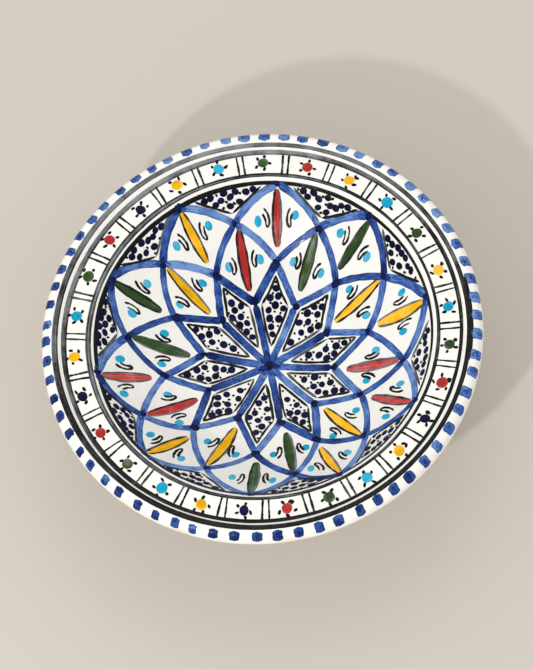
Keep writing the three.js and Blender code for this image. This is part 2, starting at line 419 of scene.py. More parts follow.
def stroke_tree():
    """Gives each chain of points a brush's width and a low rounded top, and lays it on the face."""
    tree, given, out = geometry_tree("Brush Strokes", (("Sides", "Int"), *LAY_INPUTS))
    line = new_node(tree, "GeometryNodeMeshToCurve", {"Mesh": given.outputs["Geometry"]}).outputs[0]
    length = new_node(tree, "GeometryNodeSplineParameter").outputs["Length"]
    line = store(tree, line, "along", length)
    brush = new_node(tree, "GeometryNodeCurvePrimitiveCircle",
                     {"Resolution": given.outputs["Sides"], "Radius": 1.0})
    spot = separated(tree)
    squared = math_node(tree, "POWER", math_node(tree, "ABSOLUTE", spot.outputs[0]), 0.25)
    squared = math_node(tree, "MULTIPLY", squared, math_node(tree, "SIGN", spot.outputs[0]))
    slab = new_node(tree, "ShaderNodeCombineXYZ", {0: squared, 1: spot.outputs[1]}).outputs[0]
    tip = store(tree, brush.outputs[0], "lift", spot.outputs[1])
    tip = moved_to(tree, tip, slab)
    tip = store(tree, tip, "across", separated(tree).outputs[0])
    body = new_node(tree, "GeometryNodeCurveToMesh", {
        "Curve": line, "Profile Curve": tip, "Scale": stored(tree, "half_width"),
        "Fill Caps": True}).outputs[0]
    finish_tree(tree, out, lay(tree, given, body), given.outputs["Material"])


def dab_tree():
    """Puts a low rounded touch of paint on each point, sized and turned as stored there."""
    tree, given, out = geometry_tree("Brush Dabs", (("Sides", "Int"), *LAY_INPUTS))
    ball = new_node(tree, "GeometryNodeMeshUVSphere",
                    {"Segments": given.outputs["Sides"], "Rings": 4, "Radius": 1.0}).outputs[0]
    spot = separated(tree)
    ball = store(tree, ball, "lift", spot.outputs[2])
    flat, reach = in_plan(tree, spot)
    fuller = math_node(tree, "POWER", reach, 0.15)
    wide = vector_node(tree, "SCALE", vector_node(tree, "NORMALIZE", flat), scale=fuller)
    ball = moved_to(tree, ball, vector_node(tree, "ADD", wide, upwards(tree, spot.outputs[2])))
    spot = separated(tree)
    ball = store(tree, ball, "across", spot.outputs[1])
    ball = store(tree, ball, "along", spot.outputs[0])
    turn = upwards(tree, stored(tree, "turn"))
    points = new_node(tree, "GeometryNodeMeshToPoints", {"Mesh": given.outputs["Geometry"]}).outputs[0]
    set_out = new_node(tree, "GeometryNodeInstanceOnPoints", {
        "Points": points, "Instance": ball, "Rotation": turn,
        "Scale": stored(tree, "size", "FLOAT_VECTOR")}).outputs[0]
    real = new_node(tree, "GeometryNodeRealizeInstances", {"Geometry": set_out}).outputs[0]
    finish_tree(tree, out, lay(tree, given, real), given.outputs["Material"])


def trees():
    """The node groups, with the four trees built once."""
    if "Turn On The Wheel" not in bpy.data.node_groups:
        turning_tree()
        laying_tree()
        stroke_tree()
        dab_tree()
    return bpy.data.node_groups


def applied(name, source, tree, values):
    """Runs a tree on a mesh and returns a plain mesh object at the origin."""
    holder = bpy.data.objects.new(name + "_marks", source)
    bpy.context.scene.collection.objects.link(holder)
    modifier = holder.modifiers.new("made", "NODES")
    modifier.node_group = tree
    sockets = {s.name: s.identifier for s in tree.interface.items_tree if s.in_out == "INPUT"}
    for label, value in values.items():
        modifier[sockets[label]] = value
    bpy.context.view_layer.update()
    depsgraph = bpy.context.evaluated_depsgraph_get()
    mesh = bpy.data.meshes.new_from_object(
        holder.evaluated_get(depsgraph), preserve_all_data_layers=True, depsgraph=depsgraph)
    holder.modifiers.clear()
    bpy.data.objects.remove(holder)
    if not mesh.polygons:
        raise RuntimeError(f"{name} came out empty")
    facing = bmesh.new()
    facing.from_mesh(mesh)
    bmesh.ops.recalc_face_normals(facing, faces=facing.faces)
    facing.to_mesh(mesh)
    facing.free()
    mesh.name = name
    piece = bpy.data.objects.new(name, mesh)
    bpy.context.scene.collection.objects.link(piece)
    return piece


def ridden(piece, nodes=()):
    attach(piece, "root")
    if nodes:
        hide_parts(*nodes)


def unit():
    """Metres to one drawn millimetre, so that the painting grows with the lip."""
    return bpy.context.scene.plate_sizes.lip_radius / LIP_MM


def turned(name, outline, material, facets=None):
    """A thrown surface from its outline of (radius, height) points, in drawn millimetres."""
    points = [Vector((p.x, 0, p.y)) * unit() for p in outline]
    source = bpy.data.meshes.new(name + "_outline")
    source.from_pydata(points, [(i, i + 1) for i in range(len(points) - 1)], [])
    facets = facets or bpy.context.scene.plate_sizes.facets
    return applied(name, source, trees()["Turn On The Wheel"], {
        "Facets": facets, "Outline Steps": len(points), "Material": material})


def lay_values(material, wobble):
    scale = unit()
    return {"Face": bpy.data.objects["glaze"], "Thickness": bpy.context.scene.plate_sizes.paint_thickness,
            "Wobble": wobble, "Roll Start": ROLL_START * scale, "Roll Height": ROLL_HEIGHT * scale,
            "Roll Radius": ROLL_RADIUS * scale, "Material": material}


def attribute(mesh, name, kind, values):
    layer = mesh.attributes.new(name, kind, "POINT")
    layer.data.foreach_set("vector" if kind == "FLOAT_VECTOR" else "value", values)


def brushed(name, marks, material, sides=12, base=0.03):
    """A mesh of strokes; base is how far their undersides stand off the glaze, in millimetres."""
    scale = unit()
    source = bpy.data.meshes.new(name + "_lines")
    source.from_pydata([p * scale for p in marks.points], marks.edges, [])
    attribute(source, "half_width", "FLOAT", [w * scale for w in marks.widths])
    attribute(source, "tone", "FLOAT", marks.tones)
    attribute(source, "layer", "FLOAT", [(base + h) * scale for h in marks.layers])
    return applied(name, source, trees()["Brush Strokes"],
                   {"Sides": sides, **lay_values(material, STROKE_WOBBLE)})


def dabbed(name, dabs, material, sides=12, base=0.09):
    """A mesh of touches; base is how far their middles stand off the glaze, in millimetres."""
    scale = unit()
    source = bpy.data.meshes.new(name + "_touches")
    source.from_pydata([p * scale for p in dabs.points], [], [])
    sizes = [c for s in dabs.sizes for c in (s.x * scale, s.y * scale, 1.0)]
    attribute(source, "size", "FLOAT_VECTOR", sizes)
    attribute(source, "turn", "FLOAT", dabs.turns)
    attribute(source, "tone", "FLOAT", dabs.tones)
    attribute(source, "layer", "FLOAT", [(base + h) * scale for h in dabs.layers])
    return applied(name, source, trees()["Brush Dabs"],
                   {"Sides": sides, **lay_values(material, DAB_WOBBLE)})


# ---- Finishes -----------------------------------------------------------------------------------
def material_with(name):
    """The named material, with its tree and shader when it is new and has to be filled in."""
    material = bpy.data.materials.get(name)
    if material:
        return material, None, None
    material = bpy.data.materials.new(name)
    material.use_nodes = True
    tree = material.node_tree
    return material, tree, tree.nodes["Principled BSDF"]


def ramp(tree, factor, stops):
    node = new_node(tree, "ShaderNodeValToRGB", {0: factor})
    elements = node.color_ramp.elements
    for i, (place, colour) in enumerate(stops):
        element = elements[i] if i < 2 else elements.new(place)
        element.position = place
        element.color = (*colour, 1)
    return node.outputs[0]


def spread(tree, value, low, high, to_low=0.0, to_high=1.0):
    return new_node(tree, "ShaderNodeMapRange",
                    {0: value, 1: low, 2: high, 3: to_low, 4: to_high}).outputs[0]


def noise(tree, vector, scale, detail=3.0, rough=0.5):
    return new_node(tree, "ShaderNodeTexNoise", {
        "Vector": vector, "Scale": scale, "Detail": detail, "Roughness": rough}).outputs[0]


def mixed(tree, factor, a, b):
    node = new_node(tree, "ShaderNodeMix", data_type="RGBA")
    for socket, value in ((node.inputs[0], factor), (node.inputs[6], a), (node.inputs[7], b)):
        if isinstance(value, bpy.types.NodeSocket):
            tree.links.new(value, socket)
        elif socket is node.inputs[0]:
            socket.default_value = value
        else:
            socket.default_value = (*value, 1)
    return node.outputs[2]


def bumped(tree, shader, height, distance, strength=1.0):
    bump = new_node(tree, "ShaderNodeBump", {"Height": height, "Distance": distance, "Strength": strength})
    tree.links.new(bump.outputs[0], shader.inputs["Normal"])


def gloss(shader, roughness=0.14, level=0.08, coat=0.03):
    shader.inputs["Specular IOR Level"].default_value = level
    shader.inputs["Coat Weight"].default_value = coat
    shader.inputs["Coat Roughness"].default_value = 0.06
    shader.inputs["Roughness"].default_value = roughness


def object_place(tree):
    return new_node(tree, "ShaderNodeTexCoord").outputs["Object"]


def glaze_finish():
    """White glaze: creamy clouds, thin over the lip where the clay warms it, wheel marks beneath."""
    material, tree, shader = material_with("white_tin_glaze")
    if tree is None:
        return material
    colours = bpy.context.scene.plate_colours
    place = object_place(tree)
    cloud = noise(tree, place, 26, 3)
    colour = mixed(tree, spread(tree, cloud, 0.35, 0.7), tuple(colours.glaze), tuple(colours.glaze_cream))
    flat, radius = in_plan(tree, separated(tree, place))
    edge = spread(tree, radius, 0.1484, 0.15)
    patchy = spread(tree, noise(tree, place, 55, 4, 0.6), 0.5, 0.68)
    colour = mixed(tree, math_node(tree, "MULTIPLY", math_node(tree, "MULTIPLY", edge, patchy), 0.45),
                   colour, tuple(colours.clay))
    specks = spread(tree, noise(tree, place, 900, 2, 0.6), 0.76, 0.8)
    colour = mixed(tree, math_node(tree, "MULTIPLY", specks, 0.5), colour, (0.32, 0.24, 0.17))
    tree.links.new(colour, shader.inputs["Base Color"])
    gloss(shader, 0.12, 0.3, 0.06)
    rough = spread(tree, noise(tree, place, 60, 3), 0.3, 0.7, 0.08, 0.16)
    tree.links.new(rough, shader.inputs["Roughness"])
    rings = new_node(tree, "ShaderNodeTexWave", {
        "Vector": flat, "Scale": 38.0, "Distortion": 1.2, "Detail": 1.0, "Detail Scale": 1.0},
        wave_type="RINGS", rings_direction="Z").outputs["Fac"]
    pull = math_node(tree, "ADD", math_node(tree, "MULTIPLY", rings, 0.35), noise(tree, place, 45, 3))
    bumped(tree, shader, pull, 0.0007, 0.5)
    return material


def clay_finish():
    material, tree, shader = material_with("bare_earthenware")
    if tree is None:
        return material
    place = object_place(tree)
    clay = bpy.context.scene.plate_colours.clay
    grain = noise(tree, place, 260, 5, 0.65)
    dark = tuple(c * 0.72 for c in clay)
    colour = mixed(tree, spread(tree, grain, 0.3, 0.7), tuple(clay), dark)
    grog = spread(tree, noise(tree, place, 1100, 2), 0.68, 0.74)
    colour = mixed(tree, math_node(tree, "MULTIPLY", grog, 0.6), colour, (0.3, 0.17, 0.1))
    tree.links.new(colour, shader.inputs["Base Color"])
    shader.inputs["Roughness"].default_value = 0.86
    lines = new_node(tree, "ShaderNodeTexWave", {"Vector": place, "Scale": 120.0, "Distortion": 2.0},
                     wave_type="RINGS", rings_direction="Z").outputs["Fac"]
    bumped(tree, shader, math_node(tree, "ADD", grain, math_node(tree, "MULTIPLY", lines, 0.5)), 0.0004, 0.6)
    return material


def paint_finish(name, light, mid, dark, wash=0.7, edge=0.3):
    """Brushed glaze colour: streaks along the stroke, more colour where it pooled at the edges.

    wash: how uneven the coat is; edge: how much colour pooled."""
    material, tree, shader = material_with(name)
    if tree is None:
        return material
    place = object_place(tree)
    read = {}
    for label in ("tone", "across", "along"):
        read[label] = new_node(tree, "ShaderNodeAttribute", attribute_name=label).outputs["Fac"]
    streak_place = new_node(tree, "ShaderNodeCombineXYZ", {
        0: math_node(tree, "MULTIPLY", read["along"], 30.0),
        1: math_node(tree, "MULTIPLY", read["across"], 2.6),
        2: math_node(tree, "MULTIPLY", read["tone"], 40.0)}).outputs[0]
    streak = noise(tree, streak_place, 1.6, 3, 0.6)
    cloud = noise(tree, place, 90, 3, 0.55)
    pool = math_node(tree, "POWER", math_node(tree, "ABSOLUTE", read["across"]), 4.0)
    value = read["tone"]
    for pattern, share in ((streak, 1.6), (cloud, 1.2)):
        uneven = math_node(tree, "MULTIPLY", math_node(tree, "SUBTRACT", pattern, 0.5), wash * share)
        value = math_node(tree, "ADD", value, uneven)
    value = math_node(tree, "ADD", value, math_node(tree, "MULTIPLY", pool, edge * 0.5), clamp=True)
    tree.links.new(ramp(tree, value, ((0.0, light), (0.5, mid), (1.0, dark))), shader.inputs["Base Color"])
    gloss(shader)
    bumped(tree, shader, math_node(tree, "ADD", streak, cloud), 0.0003, 0.35)
    return material


def shade(colour, factor):
    return tuple(min(1.0, c * factor) for c in colour)


def paint(letter):
    colours = bpy.context.scene.plate_colours
    base = tuple(getattr(colours, COLOUR_NAMES[letter]))
    pale = tuple(0.72 * c + 0.28 * w for c, w in zip(base, colours.glaze))
    if letter == "N":
        pale = tuple(colours.blue_deep)
    return paint_finish("brushed_" + COLOUR_NAMES[letter], pale, base, shade(base, 0.5))


def blue_paint():
    colours = bpy.context.scene.plate_colours
    return paint_finish("brushed_blue", tuple(colours.blue_pale), tuple(colours.blue),
                        tuple(colours.blue_deep), 1.0, 0.4)


def line_paint():
    colours = bpy.context.scene.plate_colours
    line = tuple(colours.line)
    return paint_finish("brushed_line", tuple(colours.line_thin), line, shade(line, 0.3), 0.6, 0.2)


def crossing_paint():
    colours = bpy.context.scene.plate_colours
    return paint_finish("brushed_crossing", tuple(colours.blue_deep), shade(colours.blue_deep, 0.6),
                        tuple(colours.navy))


def floor_finish():
    material, tree, shader = material_with("studio_floor")
    if tree is None:
        return material
    colour = tuple(bpy.context.scene.plate_colours.floor)
    cloud = spread(tree, noise(tree, object_place(tree), 3, 2), 0.3, 0.7)
    tree.links.new(mixed(tree, cloud, colour, shade(colour, 0.985)), shader.inputs["Base Color"])
    shader.inputs["Roughness"].default_value = 0.95
    shader.inputs["Specular IOR Level"].default_value = 0.1
    return material


# ---- Settings -----------------------------------------------------------------------------------
class PlateSizes(bpy.types.PropertyGroup):
    """Sizes a potter or painter would change."""
    lip_radius: FloatProperty(name="Lip radius", description="Widest circle of the rolled lip",
                              default=CAD_BOX[1].x, min=0.05, max=0.4, unit="LENGTH", subtype="DISTANCE")
    facets: IntProperty(name="Facets", description="Steps round every thrown surface",
                        default=288, min=48, max=720)
    paint_thickness: FloatProperty(name="Paint thickness", description="How proud a stroke stands",
                                   default=0.00006, min=0.00001, max=0.001, unit="LENGTH", subtype="DISTANCE")
    star_width: FloatProperty(name="Star stroke", description="Width of the blue strokes near the middle",
                              default=0.0052, unit="LENGTH", subtype="DISTANCE")
    arc_width: FloatProperty(name="Arc stroke", description="Width of the blue strokes up the wall",
                             default=0.0046, unit="LENGTH", subtype="DISTANCE")
    line_width: FloatProperty(name="Line", description="Width of the fine dark lines",
                              default=0.0015, unit="LENGTH", subtype="DISTANCE")
    lip_dashes: IntProperty(name="Lip dashes", description="Blue dashes round the lip",
                            default=66, min=12, max=160)


def colour_property(name, description, default):
    return FloatVectorProperty(name=name, description=description, default=default, min=0, max=1,
                               size=3, subtype="COLOR")


class PlateColours(bpy.types.PropertyGroup):
    """Glaze and paint colours."""
    glaze: colour_property("Glaze", "White glaze where it is thick", (0.85, 0.855, 0.825))
    glaze_cream: colour_property("Glaze cream", "White glaze where it is creamier", (0.81, 0.805, 0.765))
    clay: colour_property("Clay", "Bare fired clay", (0.62, 0.42, 0.27))
    blue_pale: colour_property("Pale blue", "Thin blue wash", (0.17, 0.30, 0.59))
    blue: colour_property("Blue", "Blue at full strength", (0.030, 0.092, 0.34))
    blue_deep: colour_property("Deep blue", "Blue where it pooled", (0.003, 0.013, 0.10))
    navy: colour_property("Navy", "Dots and crossings", (0.002, 0.003, 0.030))
    turquoise: colour_property("Turquoise", "Turquoise touches", (0.006, 0.40, 0.66))
    yellow: colour_property("Yellow", "Yellow leaves and flowers", (0.96, 0.50, 0.006))
    green: colour_property("Green", "Green leaves and flowers", (0.030, 0.078, 0.016))
    red: colour_property("Red", "Red leaves and flowers", (0.47, 0.030, 0.028))
    line: colour_property("Line", "Outlines and wheel lines", (0.012, 0.012, 0.013))
    line_thin: colour_property("Thin line", "Outlines and wheel lines where the brush ran dry",
                               (0.26, 0.275, 0.30))
    floor: colour_property("Floor", "Pale studio floor", (0.558, 0.520, 0.474))


class StudioSettings(bpy.types.PropertyGroup):
    """Camera and light."""
    elevation: FloatProperty(name="Camera elevation", description="Above the horizon",
                             default=math.radians(66.31), unit="ROTATION", subtype="ANGLE")
    roll: FloatProperty(name="Camera roll", description="Turn about the line of sight",
                        default=math.radians(-13.6), unit="ROTATION", subtype="ANGLE")
    distance: FloatProperty(name="Camera distance", description="From the flange's middle",
                            default=1.8, unit="LENGTH", subtype="DISTANCE")
    lens: FloatProperty(name="Lens", description="Focal length in millimetres", default=143.2)
    key: FloatProperty(name="Key light", description="Strength of the soft key light", default=1.18)
    key_distance: FloatProperty(name="Key distance", description="Key light to the plate", default=1.8,
                                unit="LENGTH", subtype="DISTANCE")
    key_azimuth: FloatProperty(name="Key azimuth", description="Where the key light stands, from +X",
                               default=math.radians(229), unit="ROTATION", subtype="ANGLE")
    key_height: FloatProperty(name="Key height", description="Key light above the horizon",
                              default=math.radians(37.5), unit="ROTATION", subtype="ANGLE")
    bounce: FloatProperty(name="Bounce light", description="Strength of the wide lamp opposite the key",
                          default=0.5)
    bounce_size: FloatProperty(name="Bounce size", description="Width of the wide lamp", default=1.6,
                               unit="LENGTH", subtype="DISTANCE")
    bounce_distance: FloatProperty(name="Bounce distance", description="Wide lamp to the plate", default=2.0,
                                   unit="LENGTH", subtype="DISTANCE")
    bounce_azimuth: FloatProperty(name="Bounce azimuth", description="Where the wide lamp stands, from +X",
                                  default=math.radians(75), unit="ROTATION", subtype="ANGLE")
    bounce_height: FloatProperty(name="Bounce height", description="Wide lamp above the horizon",
                                 default=math.radians(48), unit="ROTATION", subtype="ANGLE")
    fill: FloatProperty(name="Fill light", description="Strength of the light from all round", default=0.86)


# ---- Operators ----------------------------------------------------------------------------------
class PlateStep(bpy.types.Operator):
    """Shared by the making steps."""
    bl_options = {"REGISTER", "UNDO"}


class PLATE_OT_throw(PlateStep):
    """Throw the clay body and turn its foot ring"""
    bl_idname = "plate.throw"
    bl_label = "Throw the clay"

    def execute(self, context):
        inner = offset_outline(thrown_outline(FACE, 6), CLAY_DEPTH)
        outer = offset_outline(thrown_outline(BACK, 5), CLAY_DEPTH)
        foot = thrown_outline(FOOT, 3)
        # the last points of the back and the first of the foot make way for a soft corner
        loop = inner + outer[1:-3] + foot[2:]
        ridden(turned("clay_and_foot", loop, clay_finish(), 192), ["clay_body"])
        return {"FINISHED"}


class PLATE_OT_glaze(PlateStep):
    """Pour the white glaze over the face, the lip and the back, and into the foot ring"""
    bl_idname = "plate.glaze"
    bl_label = "Glaze"

    def execute(self, context):
        face = thrown_outline(FACE, 9)
        back = [p for p in thrown_outline(BACK, 6) if p.y > FOOT[0][1] + FOOT_BARE]
        outer = face + back[1:]
        under = offset_outline(outer, GLAZE_THICKNESS)
        ridden(turned("glaze", outer + list(reversed(under)), glaze_finish()),
               ["face_glaze", "back_glaze"])
        coat = turned("foot_well_coat", [Vector(p) for p in FOOT_WELL_COAT], glaze_finish(), 96)
        ridden(coat, ["foot_well_glaze"])
        return {"FINISHED"}


class PLATE_OT_star(PlateStep):
    """Brush the blue star: spokes from the middle, then arcs from crossing to crossing"""
    bl_idname = "plate.star"
    bl_label = "Blue star"

    def execute(self, context):
        sizes = context.scene.plate_sizes
        star, arc = sizes.star_width / unit(), sizes.arc_width / unit()
        marks = Marks(11)
        rand = marks.random

        def brush(start, end, bow, width, tone, fades=(-0.22, -0.12, 0.05, 0.12, 0.2)):
            """One stroke, paler or stronger along its way, and darker where it overlaps another."""
            line = bowed(start, end, bow, 12)
            fade = rand.choice(fades)
            tones = [tone + fade * (0.5 - i / 12) for i in range(13)]
            marks.stroke(line, width, tones, (0.4, 0.4))
            for near in (line[:4], line[:-5:-1]):
                if rand.random() < 0.7:
                    overlap = near[:rand.choice((3, 4))]
                    marks.stroke(overlap, width * 0.98, min(1, tone + rand.uniform(0.2, 0.45)), (0.3, 0.15),
                                 layer=0.03)

        for k in range(POINTS):
            brush(polar(1, CROSSINGS[0][1] + STEP * k), crossing(0, k), rand.uniform(-0.4, 0.4),
                  star * rand.uniform(0.92, 1.08), rand.uniform(0.25, 0.66), (-0.5, -0.4, -0.25))
        rings = ((0, 0.2, star * 0.98, (0.25, 0.8)), (1, 2.6, arc, (0.05, 0.72)), (2, 3.6, arc, (0.05, 0.68)))
        for ring, bow, width, tones in rings:
            for k in range(POINTS):
                for hand in (0, 1):
                    # rings 0 and 2 stand half a step behind rings 1 and 3
                    target = k + hand if ring in (0, 2) else k - hand
                    start, end = crossing(ring, k), crossing(ring + 1, target)
                    reach = (end - start).normalized() * 1.2
                    brush(start - reach, end + reach, bow + rand.uniform(-0.5, 0.5),
                          width * rand.uniform(0.88, 1.12), rand.uniform(*tones))
        ridden(brushed("blue_star_strokes", marks, blue_paint()), ["blue_star"])

        dabs = Dabs(12)
        rand = dabs.random
        dabs.dab(Vector((0, 0)), (8.5, 7.2), 30, 0.35, 0.02)
        dabs.dab(Vector((0.4, 0.3)), (5.4, 4.6), 75, 1.0, 0.05)
        for ring, size in ((0, 5.6), (1, 5.8), (2, 5.0), (3, 4.6)):
            for k in range(POINTS):
                for touch in range(rand.choice((1, 2, 2, 3))):
                    reach = size * rand.uniform(0.6, 1.1)
                    drift = Vector((rand.uniform(-1.1, 1.1), rand.uniform(-1.1, 1.1)))
                    dabs.dab(crossing(ring, k) + drift, (reach, reach * rand.uniform(0.6, 0.95)),
                             rand.uniform(0, 180), rand.uniform(0.3, 0.9), 0.05 + 0.01 * touch)
        ridden(dabbed("star_crossings", dabs, crossing_paint()))
        return {"FINISHED"}


def leaf_line(degrees, near, far, lean, sway):
    """A leaf's rib from radius near to far, leaning by degrees and swaying by millimetres."""
    start, end = polar(near, degrees - lean), polar(far, degrees + lean)
    return bent(start, (start + end) / 2 + square_to(end - start) * sway, end, LEAF_STEPS)


class PLATE_OT_leaves(PlateStep):
    """Paint a leaf in each white cell and outline it"""
    bl_idname = "plate.leaves"
    bl_label = "Leaves"

    def execute(self, context):
        rand = random.Random(21)
        fills = {letter: Marks(22) for letter in set(LEAF_COLOURS)}
        outlines = Marks(23)
        for k in range(POINTS):
            for ring, (near, far, wide) in ((2, (55, 92.5, 6.0)), (3, (80, 112.0, 5.8))):
                line = leaf_line(bearing(crossing(ring, k)), near + rand.uniform(-1, 1), far,
                                 rand.uniform(-1.2, 1.2), rand.uniform(-1.2, 1.2))
                wide *= rand.uniform(0.92, 1.12) * (BROADER if (ring, k) == BROAD_LEAF else 1)
                swell = [math.sin(math.pi * (0.05 + 0.90 * i / LEAF_STEPS)) for i in range(LEAF_STEPS + 1)]
                halves = [wide / 2 * max(0.1, share ** 0.62) for share in swell]
                fills[LEAF_COLOURS[k]].stroke(line, halves, rand.uniform(0.4, 0.75), (0, 0), 0.03)
                for side in (-1, 1):
                    edge = []
                    for i, p in enumerate(line):
                        aside = square_to(line[min(i + 1, LEAF_STEPS)] - line[max(i - 1, 0)])
                        edge.append(p + aside * side * (halves[i] + 0.25))
                    outlines.stroke(edge, rand.uniform(1.15, 1.7), rand.uniform(0.2, 0.65), (0.6, 0.6), 0.2)
        for letter, marks in sorted(fills.items()):
            nodes = [f"{place}_leaf_{k + 1:02d}" for k in range(POINTS) if LEAF_COLOURS[k] == letter
                     for place in ("inner", "outer")]
            name = COLOUR_NAMES[letter]
            ridden(brushed(f"{name}_leaves", marks, paint(letter)), nodes)
        ridden(brushed("leaf_outlines", outlines, line_paint(), base=0.07))
        return {"FINISHED"}


def rhomb_corners(k):
    return [Vector((0, 0)), crossing(0, (k - 1) % POINTS), crossing(1, k), crossing(0, k % POINTS)]


def fan_corners(k):
    """The field between two star tips: its point stands on a crossing and its top follows the well line."""
    middle = crossing(2, k)
    turn = bearing(middle)
    return [polar(middle.length + 6.2, turn), polar(FAN_TOP, turn - FAN_SPREAD), polar(FAN_TOP + 5, turn),
            polar(FAN_TOP, turn + FAN_SPREAD)]


def inside(point, corners, margin):
    """Whether the point lies inside the anticlockwise corners and off their sides by the margin."""
    following = corners[1:] + corners[:1]
    return all(square_to(b - a).dot(point - a) >= margin for a, b in zip(corners, following))


def scattered(rand, test, box, spacing, tries=900):
    """Places that pass the test, none nearer than spacing to another."""
    kept = []
    for _ in range(tries):
        p = Vector((rand.uniform(box[0].x, box[1].x), rand.uniform(box[0].y, box[1].y)))
        if test(p) and all((p - q).length > spacing for q in kept):
            kept.append(p)
    return kept


def corner_box(corners):
    return (Vector((min(c.x for c in corners), min(c.y for c in corners))),
            Vector((max(c.x for c in corners), max(c.y for c in corners))))


class PLATE_OT_rhombs(PlateStep):
    """Outline the star's rhombs and fill them with navy dots"""
    bl_idname = "plate.rhombs"
    bl_label = "Dotted rhombs"

    def execute(self, context):
        width = context.scene.plate_sizes.line_width / unit()
        outlines, dots, ticks = Marks(31), Dabs(32), Dabs(33)
        rand = random.Random(34)
        for k in range(POINTS):
            corners = inset(rhomb_corners(k), RHOMB_INSET)
            tip = crossing(1, k)
            corners[2] = tip - tip.normalized() * RHOMB_TIP
            loop = corners + corners[:1]
            for a, b in zip(loop, loop[1:]):
                outlines.stroke(bowed(a, b, rand.uniform(-0.9, -0.1)), width * rand.uniform(1.0, 1.35),
                                rand.uniform(0.35, 0.75), (0.4, 0.4), 0.15)
            box = corner_box(corners)
            places = scattered(rand, lambda p: inside(p, corners, 2.4), box, spacing=5.3)
            for p in places:
                size = rand.uniform(4.9, 5.9)
                dots.dab(p, (size, size * rand.uniform(0.85, 1)), rand.uniform(0, 180),
                         rand.uniform(0.3, 0.8))
            for p in scattered(rand, lambda p: inside(p, corners, 1.3) and all(
                    (p - q).length > 3.3 for q in places), box, spacing=3.4, tries=300):
                ticks.dab(p, (rand.uniform(1.7, 2.3), 1.7), rand.uniform(0, 180), 0.9)
        ridden(brushed("rhomb_outlines", outlines, line_paint(), base=0.07))
        ridden(dabbed("rhomb_dots", dots, paint("N")))
        ridden(dabbed("rhomb_ticks", ticks, line_paint(), sides=8))
        return {"FINISHED"}


class PLATE_OT_fans(PlateStep):
    """Outline the fields between the star's tips and fill them with navy dots"""
    bl_idname = "plate.fans"
    bl_label = "Dotted fans"

    def execute(self, context):
        width = context.scene.plate_sizes.line_width / unit()
        outlines, dots, ticks = Marks(41), Dabs(42), Dabs(43)
        rand = random.Random(44)
        for k in range(POINTS):
            corners = fan_corners(k)
            for end in (corners[1], corners[3]):
                outlines.stroke(bowed(corners[0], end, rand.uniform(-0.5, 0.5)),
                                width * rand.uniform(0.9, 1.2), rand.uniform(0.35, 0.7), (0.3, 0.6), 0.15)
            turn = bearing(corners[0])
            box = corner_box(corners)

            def room(p, margin, top):
                return p.length < top and inside(p, corners, margin)

            # the wall is steep here, so a round dot is short from the middle outwards
            places = scattered(rand, lambda p: room(p, 1.9, 112.9), box, spacing=4.15, tries=1600)
            for p in places:
                size = rand.uniform(4.9, 5.8)
                lean = bearing(p) + rand.uniform(-12, 12)
                dots.dab(p, (size * 0.64, size), lean, rand.uniform(0.4, 0.9))
            for p in scattered(rand, lambda p: room(p, 1.0, 113.4) and all(
                    (p - q).length > 3.2 for q in places), box, spacing=4.0, tries=400):
                ticks.dab(p, (1.5, rand.uniform(1.8, 2.6)), turn + rand.uniform(-40, 40), 0.85)
        ridden(brushed("fan_outlines", outlines, line_paint(), base=0.07))
        ridden(dabbed("fan_dots", dots, paint("N")))
        ridden(dabbed("fan_ticks", ticks, line_paint(), sides=8))
        return {"FINISHED"}


class PLATE_OT_flourishes(PlateStep):
    """Add a hooked flourish and a turquoise touch on both sides of each leaf"""
    bl_idname = "plate.flourishes"
    bl_label = "Flourishes"

    def execute(self, context):
        hooks, touches = Marks(51), Dabs(52)
        rand = random.Random(53)
        # a hook's way outwards and round the plate, from its middle
        ways = ((5.0, 0.9), (2.0, -0.9), (-2.4, -1.3), (-5.2, 0.2), (-4.4, 1.4), (-1.2, 1.3), (2.4, 2.4))
        for k in range(POINTS):
            for ring, radius, hook_turn, touch_turn in ((2, 74, 5.6, 8.8), (3, 98, 4.6, 7.8)):
                turn = bearing(crossing(ring, k))
                for side in (-1, 1):
                    r = radius + rand.uniform(-1.5, 1.5)
                    place = polar(r, turn + side * (hook_turn + rand.uniform(-0.5, 0.5)))
                    out, about = place.normalized(), square_to(place) * side
                    lean = rand.uniform(-0.25, 0.25)
                    line = [place + out * (a + lean * b) + about * (b - lean * a) for a, b in ways]
                    hooks.stroke(catmull(line, 4), rand.uniform(1.3, 1.75), rand.uniform(0.55, 0.95),
                                 (0.6, 0.8), 0.2)
                    spot = polar(r + rand.uniform(-2.5, 2.5),
                                 turn + side * (touch_turn + rand.uniform(-0.6, 0.6)))
                    touches.dab(spot, (rand.uniform(5.4, 6.6), rand.uniform(4.6, 5.4)),
                                turn + rand.uniform(-35, 35), rand.uniform(0.3, 0.6))
        ridden(dabbed("turquoise_touches", touches, paint("T"), sides=14, base=0.06))
        ridden(brushed("flourish_hooks", hooks, line_paint(), base=0.07))
        return {"FINISHED"}


def ripple(turn, times, shift):
    """Between -1 and 1, so many times round the plate."""
    return math.sin(math.radians(times * turn + shift))


